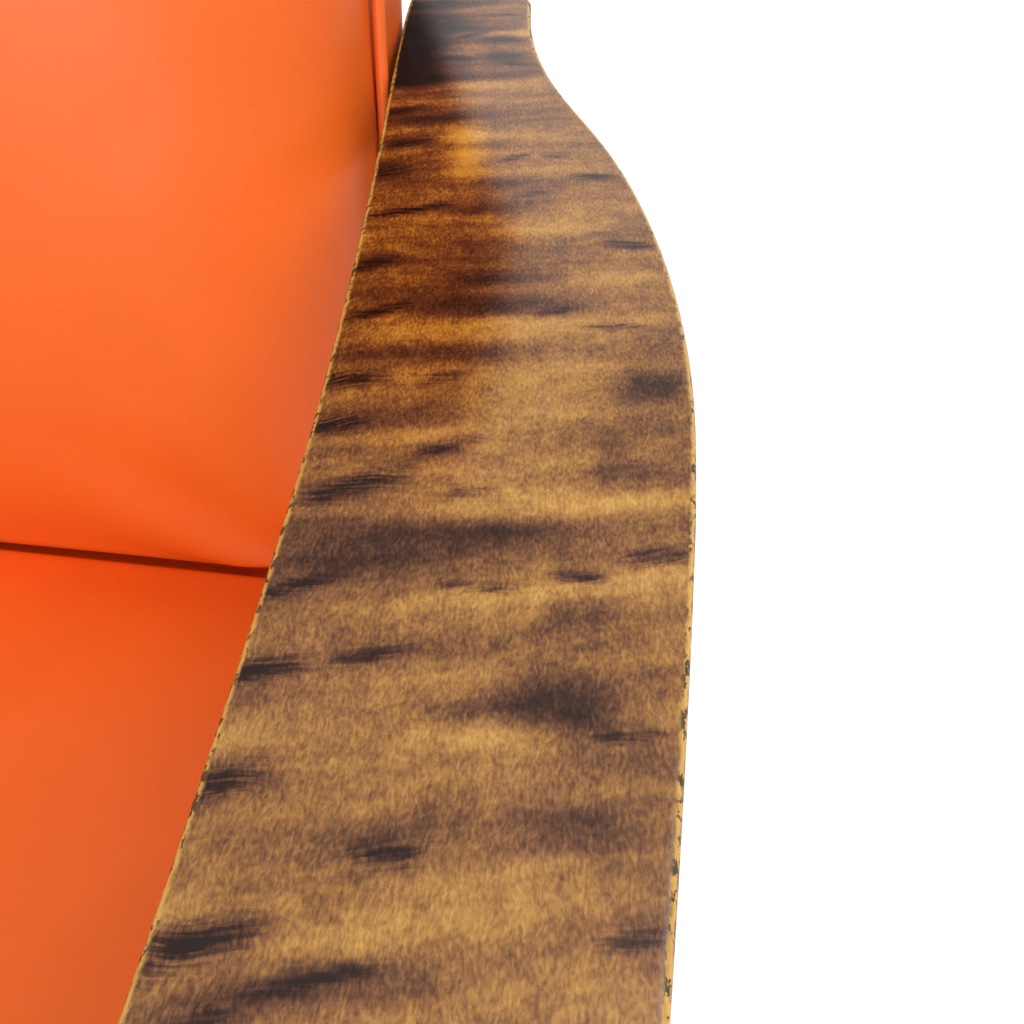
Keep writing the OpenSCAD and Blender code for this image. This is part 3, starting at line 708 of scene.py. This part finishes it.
def inflate(obj, held, pressure, limit, frames=16):
    """Blow the cover up a little with a cloth simulation; no point moves further than the limit."""
    before = np.array([v.co for v in obj.data.vertices], float)
    group = obj.vertex_groups.new(name="held")
    group.add([int(i) for i in np.flatnonzero(held)], 1.0, "REPLACE")
    cloth = obj.modifiers.new("cloth", "CLOTH")
    s = cloth.settings
    s.quality = 5
    s.mass = 0.5
    s.tension_stiffness = s.compression_stiffness = 22
    s.shear_stiffness = 12
    s.bending_stiffness = 3.0
    s.tension_damping = s.compression_damping = 12
    s.air_damping = 3
    s.use_pressure = True
    s.uniform_pressure_force = pressure
    s.vertex_group_mass = "held"
    s.effector_weights.gravity = 0
    cloth.collision_settings.use_collision = False
    cloth.collision_settings.use_self_collision = False
    cloth.point_cache.frame_start, cloth.point_cache.frame_end = 1, frames
    scene = bpy.context.scene
    for f in range(1, frames + 1):
        scene.frame_set(f)
        soft = obj.evaluated_get(bpy.context.evaluated_depsgraph_get())
        mesh = soft.data
    after = np.empty(len(before) * 3)
    mesh.vertices.foreach_get("co", after)
    move = after.reshape(-1, 3) - before
    length = np.linalg.norm(move, axis=1)
    move *= (limit * np.tanh(length / limit) / np.maximum(length, 1e-9))[:, None]
    obj.modifiers.remove(cloth)
    obj.vertex_groups.clear()
    obj.data.vertices.foreach_set("co", (before + move).ravel())
    obj.data.update()
    scene.frame_set(1)


def make_back():
    bottom = 0.002
    straight = BACK_H - CORNER
    heights = [bottom + up * MM for up in (0, 0.5, 1.4, 3, 5, 9, 15)]
    heights += list(np.linspace(0.025, straight, 34)[:-1])
    heights += [straight + CORNER * math.sin(a) for a in np.radians(np.linspace(0, 90, 12))]
    share = np.linspace(-1, 1, 131)
    share = np.sign(share) * (1 - (1 - np.abs(share)) ** 1.25)
    flat = [(s * back_half_at(min(z, BACK_H - 1e-9)), z) for z in heights for s in share]
    n_rows, n_cols = len(heights), len(share)
    verts = []
    for x, z in flat:
        d_side, d_top = HALF - abs(x), BACK_H - z
        cx, cz = HALF - CORNER, BACK_H - CORNER
        if abs(x) > cx and z > cz:
            d_side = d_top = max(0.0, CORNER - math.hypot(abs(x) - cx, z - cz))
        e = roll(d_side / 0.085) * roll(d_top / 0.095)
        crown = -0.007 * math.sin(math.pi * min(1, max(0, z / 0.42))) ** 0.8
        y = EDGE_Y * (1 - e) + crown * e + waves(x, z, 1.3, 5.0, 0.0006) * e
        y -= 0.009 * math.exp(-((z / 0.20) ** 2)) * e
        y += BOTTOM_TUCK * (1 - roll((z - bottom) / 0.006))
        verts.append(lean(x, y, z))
    faces = grid_faces(n_rows, n_cols)
    previous = ring = ring_of(n_rows, n_cols)
    edge = set(ring)
    held = [k in edge for k in range(len(verts))]

    def shrunk(x, z, margin):
        """A point of the outline moved in by about the margin."""
        tall = BACK_H - bottom
        return x * (HALF - margin) / HALF, bottom + margin + (z - bottom) * (tall - 2 * margin) / tall

    # from the seam back along the boxing, round onto the frame, and forward inside to the foam's back
    steps = [(0.0012, 0.0016), (0.005, 0.0002), (0.013, -0.0008), (0.024, -0.0012), (0.036, -0.0010),
             (0.048, -0.0006), (0.058, 0.0), (0.0645, 0.0012), (0.0664, 0.004), (0.0664, 0.011),
             (0.0660, 0.0175), (0.060, 0.0180), (0.040, 0.0180), (0.034, 0.0185)]
    for deep, margin in steps:
        new = []
        for k in ring:
            x, z = shrunk(*flat[k], margin)
            tuck = BOTTOM_TUCK * (1 - min(1.0, deep / 0.03)) if flat[k][1] < bottom + 1e-6 else 0.0
            new.append(len(verts))
            verts.append(lean(x, EDGE_Y + tuck + deep, z))
            held.append(True)
        faces += bridge(previous, new)
        previous = new
    # the foam's back
    start = len(verts)
    for x, z in flat:
        x, z = shrunk(x, z, 0.020)
        verts.append(lean(x, EDGE_Y + 0.0335, z))
        held.append(True)
    faces += grid_faces(n_rows, n_cols, start, True)
    faces += bridge(previous, [start + k for k in ring])
    obj = new_piece("back_upholstery", verts, faces, M_LEATHER,
                    ["back_cover", "back_foam"])
    face_outwards(obj)
    inflate(obj, held, 1.4, 0.012)
    lowest = min(v[2] for v in verts)
    # painted shade, strongest at the back's lowest edge by the crease
    store(obj, "painted_crease_shade", np.array([0.9 * math.exp(-(v[2] - lowest) / 0.075) for v in verts]))
    sub = obj.modifiers.new("smooth", "SUBSURF")
    sub.levels = sub.render_levels = 1
    return obj


make_back()


def tube(name, path, radius, material, replaces, sides=14):
    """A round cord along a path of points."""
    path = [Vector(p) for p in path]
    verts, faces = [], []
    up = Vector((0.0, 0.0, 1.0))
    previous = None
    for i, p in enumerate(path):
        ahead = (path[min(i + 1, len(path) - 1)] - path[max(i - 1, 0)]).normalized()
        if previous is None:
            side_way = ahead.cross(up)
            if side_way.length < 1e-3:
                side_way = ahead.cross(Vector((1, 0, 0)))
        else:
            side_way = previous - ahead * previous.dot(ahead)
        side_way.normalize()
        previous = side_way
        other = ahead.cross(side_way)
        for k in range(sides):
            a = 2 * math.pi * k / sides
            verts.append(p + (side_way * math.cos(a) + other * math.sin(a)) * radius)
    for i in range(len(path) - 1):
        for k in range(sides):
            k2 = (k + 1) % sides
            faces.append((i * sides + k, i * sides + k2, (i + 1) * sides + k2, (i + 1) * sides + k))
    for start, order in ((0, -1), (len(path) - 1, 1)):
        faces.append([start * sides + k for k in range(sides)][::order])
    return new_piece(name, verts, faces, material, replaces)


def resample(points, step):
    """Evenly spaced points along a polyline."""
    points = np.array(points, float)
    gaps = np.linalg.norm(np.diff(points, axis=0), axis=1)
    at = np.concatenate([[0], np.cumsum(gaps)])
    count = max(2, int(at[-1] / step))
    want = np.linspace(0, at[-1], count + 1)
    return np.stack([np.interp(want, at, points[:, k]) for k in range(3)], 1)


PIPE_R = (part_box("seat_piping")[1].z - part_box("seat_piping")[0].z) / 2
pipe_line = []
cx, cz = HALF - CORNER, BACK_H - CORNER
reach = CORNER + PIPE_R + 0.2 * MM
for z in np.linspace(0.010, cz, 40):
    pipe_line.append(lean(-cx - reach, EDGE_Y, z))
for a in np.radians(np.linspace(180, 90, 20))[1:]:
    pipe_line.append(lean(-cx + reach * math.cos(a), EDGE_Y, cz + reach * math.sin(a)))
for x in np.linspace(-cx, cx, 60)[1:-1]:
    pipe_line.append(lean(x, EDGE_Y, cz + reach))
for a in np.radians(np.linspace(90, 0, 20)):
    pipe_line.append(lean(cx + reach * math.cos(a), EDGE_Y, cz + reach * math.sin(a)))
for z in np.linspace(cz, 0.010, 40)[1:]:
    pipe_line.append(lean(cx + reach, EDGE_Y, z))
tube("back_piping_cord", resample(pipe_line, 0.006), PIPE_R, M_PIPING_HIGHLIGHT, ["back_piping"])


# ---- Seat upholstery ----

seat_lo, seat_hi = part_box("seat_cover")
FRONT_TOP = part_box("front_rail")[1].z
LEG_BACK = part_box("front_leg_left")[1].y
leg_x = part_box("front_leg_left")[0].x
REAR_LEG_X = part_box("rear_leg_left")[0].x
pipe_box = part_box("seat_piping")
BORDER_TOP = (pipe_box[0].z + pipe_box[1].z) / 2 - 0.0015
SEAT_TOP = seat_hi.z
CREASE_Y, CREASE_Z = ORIGIN
CREASE_DEPTH = 10 * MM
CREASE_START = 7 * MM
CREASE_ROLL = 5 * MM
FRONT_Y = seat_lo.y + 0.009


def seat_half_at(y):
    wide = (leg_x + 0.016) + (REAR_LEG_X - leg_x) * (y - LEG_BACK) / (seat_hi.y - LEG_BACK)
    t = min(max((y - (LEG_BACK + 0.002)) / 0.010, 0), 1)
    t = t * t * (3 - 2 * t)
    return (leg_x - 0.003) * (1 - t) + wide * t


def seat_top_at(x, y):
    flat_y = FRONT_Y + 0.075
    if y < flat_y:
        z = SEAT_TOP
    else:
        t = (y - flat_y) / (CREASE_Y - flat_y)
        z = SEAT_TOP + (CREASE_Z - SEAT_TOP) * t
    return z


def make_seat():
    ys = list(FRONT_Y + np.array([0, 1.5, 4, 8, 13, 20, 28, 38, 50, 62]) * MM)
    ys += list(LEG_BACK + np.array([0, 3, 6, 9, 13]) * MM)
    ys += list(np.linspace(LEG_BACK + 0.022, CREASE_Y - 0.024, 36))
    ys += list(CREASE_Y + np.array([-18, -12, -9, -7, -5.8, -4.5, -3.2, -2, 0]) * MM)
    ys += list(np.linspace(CREASE_Y + 0.004, seat_hi.y, 8))
    ys = sorted(ys)
    share = np.linspace(-1, 1, 141)
    share = np.sign(share) * (1 - (1 - np.abs(share)) ** 1.4)
    verts = []
    for y in ys:
        h = seat_half_at(y)
        for s in share:
            x = s * h
            a = 1 - roll((y - FRONT_Y) / 0.070)
            b = 1 - roll((h - abs(x)) / 0.040)
            z = seat_top_at(x, y)
            deep = min(1, max(0, (y - FRONT_Y) / 0.15)) * min(1, max(0, (CREASE_Y + 0.02 - y) / 0.12))
            place = math.cos(3 * math.pi * x / (2 * h)) ** 2
            crown = 0.006 * deep * (1 - abs(s) ** 4) + 0.0015 * place * deep
            z += crown + waves(x, y, 2.2, 6.0, 0.0008) * deep
            z -= (SEAT_TOP - BORDER_TOP) * a + 0.020 * b
            dip = min(1.0, max(0.0, (y - CREASE_Y + CREASE_START) / CREASE_ROLL))
            z -= CREASE_DEPTH * dip * dip * (3 - 2 * dip)
            verts.append((x, y, z))
    n_rows, n_cols = len(ys), len(share)
    faces = grid_faces(n_rows, n_cols)
    previous = ring = ring_of(n_rows, n_cols)
    edge = set(ring)
    held = [k in edge or verts[k][1] > CREASE_Y - 0.020 for k in range(len(verts))]
    base = FRONT_TOP + 0.0006
    for level in (0.05, 0.14, 0.28, 0.44, 0.60, 0.76, 0.90):
        new = []
        for k in ring:
            x, y, z = verts[k]
            if y < FRONT_Y + 0.002:
                y += -0.008 * math.sin(math.pi * min(1, level * 0.96)) ** 0.8 + 0.009 * level ** 3
            new.append(len(verts))
            verts.append((x, y, z + (base - z) * level))
            held.append(True)
        faces += bridge(previous, new)
        previous = new
    start = len(verts)
    back_y = ys[-1]
    for x, y, z in verts[:n_rows * n_cols]:
        share_back = (y - FRONT_Y) / (back_y - FRONT_Y)
        verts.append((x, FRONT_Y + 0.009 + share_back * (back_y - FRONT_Y - 0.009), base))
        held.append(True)
    faces += grid_faces(n_rows, n_cols, start, True)
    faces += bridge(previous, [start + k for k in ring])
    obj = new_piece("seat_upholstery", verts, faces, M_LEATHER,
                    ["seat_cover", "seat_foam"])
    face_outwards(obj)
    inflate(obj, held, 0.7, 0.006)
    # painted shade, strongest along the crease
    store(obj, "painted_crease_shade", np.array([0.9 * math.exp(-abs(CREASE_Y - v[1]) / 0.06) for v in verts]))
    sub = obj.modifiers.new("smooth", "SUBSURF")
    sub.levels = sub.render_levels = 1
    return obj


make_seat()
lo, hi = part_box("seat_piping")
y = (lo.y + hi.y) / 2
z = (lo.z + hi.z) / 2
tube("seat_piping_cord", resample([(lo.x, y, z), (hi.x, y, z)], 0.008), PIPE_R, M_PIPING_HIGHLIGHT,
     ["seat_piping"])


# ---- Panels stretched over the frame ----

def stretched(name, profile, half, thick, material, node, ripple):
    """A taut sheet: a profile in y and z, swept across, with a little pull at its edges."""
    line = resample([(0, y, z) for y, z in profile], 0.016)[:, 1:]
    along = np.concatenate([[0], np.cumsum(np.linalg.norm(np.diff(line, axis=0), axis=1))])
    step = np.gradient(line, axis=0)
    normal = np.stack([-step[:, 1], step[:, 0]], 1) / np.linalg.norm(step, axis=1)[:, None]
    xs = np.linspace(-half, half, 121)
    n_rows, n_cols = len(line), len(xs)
    verts = []
    for side in (0.5, -0.5):
        for i in range(n_rows):
            near = math.exp(-along[i] / 0.025) + math.exp(-(along[-1] - along[i]) / 0.025)
            for x in xs:
                out = side * thick + ripple * near * (math.cos(x * 2 * math.pi / 0.058) - 1) / 2
                belly = math.sin(math.pi * along[i] / along[-1]) * math.cos(math.pi * x / 2 / half)
                out -= ripple * 1.5 * belly
                y, z = line[i] + normal[i] * out
                verts.append((x, y, z))
    count = n_rows * n_cols
    faces = grid_faces(n_rows, n_cols) + grid_faces(n_rows, n_cols, count, True)
    ring = ring_of(n_rows, n_cols)
    faces += bridge(ring, [k + count for k in ring])
    obj = new_piece(name, verts, faces, material, [node])
    face_outwards(obj)
    sub = obj.modifiers.new("smooth", "SUBSURF")
    sub.levels = sub.render_levels = 1
    return obj


lo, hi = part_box("outside_back")
rail_lo, rail_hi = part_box("rear_rail")
top_z = (hi.z - ORIGIN[1] + BACK_T * math.sin(RAKE)) / math.cos(RAKE)
_, ty, tz = lean(0, BACK_T - 0.0002, top_z + 0.0035)
_, by, bz = lean(0, BACK_T - 0.0002, 0.003)
stretched("outside_back_leather", [(ty, tz), (by, bz), (rail_hi.y + 0.0012, rail_lo.z + 0.047)],
          hi.x + 0.0035, 0.0014, M_LEATHER, "outside_back",
          0.0005)
lo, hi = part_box("dust_cover")
mid = (lo.z + hi.z) / 2
stretched("dust_cover_cloth", [(lo.y + 0.001, mid), (hi.y - 0.001, mid)], hi.x - 0.001, 0.0008, M_DUST,
          "dust_cover", -0.0006)

# ---- Studio ----

floor_mat = Nodes("pale_floor")
speck = floor_mat.noise(floor_mat.mapped((40, 40, 40)), 1, 3, 0.6)
floor_mat.set(Base_Color=floor_mat.mix(speck, (0.955, 0.955, 0.952), (0.975, 0.975, 0.972)), Roughness=0.9)
size = 14.0
mesh = bpy.data.meshes.new("floor")
corners = [(-size, -size, 0), (size, -size, 0), (size, size, 0), (-size, size, 0)]
mesh.from_pydata(corners, [], [(0, 1, 2, 3)])
mesh.materials.append(floor_mat.mat)
floor = bpy.data.objects.new("floor", mesh)
bpy.context.scene.collection.objects.link(floor)

world = bpy.data.worlds.new("studio")
bpy.context.scene.world = world
world.use_nodes = True
background = world.node_tree.nodes["Background"]
background.inputs["Color"].default_value = (1.0, 1.0, 1.0, 1)
background.inputs["Strength"].default_value = 0.63


def area_light(name, place, target, size_x, size_y, power, color=(1, 1, 1)):
    data = bpy.data.lights.new(name, "AREA")
    data.shape = "RECTANGLE"
    data.size, data.size_y = size_x, size_y
    data.energy = power
    data.color = color
    obj = bpy.data.objects.new(name, data)
    obj.location = place
    obj.rotation_euler = (Vector(target) - Vector(place)).to_track_quat("-Z", "Y").to_euler()
    bpy.context.scene.collection.objects.link(obj)


area_light("front", (-0.6, -3.1, 2.8), (0.2, 0.0, 0.6), 4.0, 2.2, 105, (1.0, 0.985, 0.96))
area_light("rear", (1.7, 3.1, 2.1), (0.7, 0.2, 0.6), 3.2, 1.8, 22)
area_light("side", (2.7, -0.3, 3.3), (1.7, 0.5, 0.0), 2.4, 2.4, 84)

# ---- Camera ----

arm_lo, arm_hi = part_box("arm_left")
cam_data = bpy.data.cameras.new("camera")
cam_data.sensor_width = 36
cam_data.lens = 26.19
cam_data.clip_start = 0.02
camera = bpy.data.objects.new("camera", cam_data)
# held above the arm, looking down and a little to the sitter's right
camera.location = (arm_hi.x - 0.037, arm_lo.y + 0.342, arm_hi.z + 0.164)
camera.rotation_euler = (math.radians(35), 0, math.radians(6.7))
bpy.context.scene.collection.objects.link(camera)
bpy.context.scene.camera = camera
bpy.context.scene.view_settings.view_transform = "Standard"
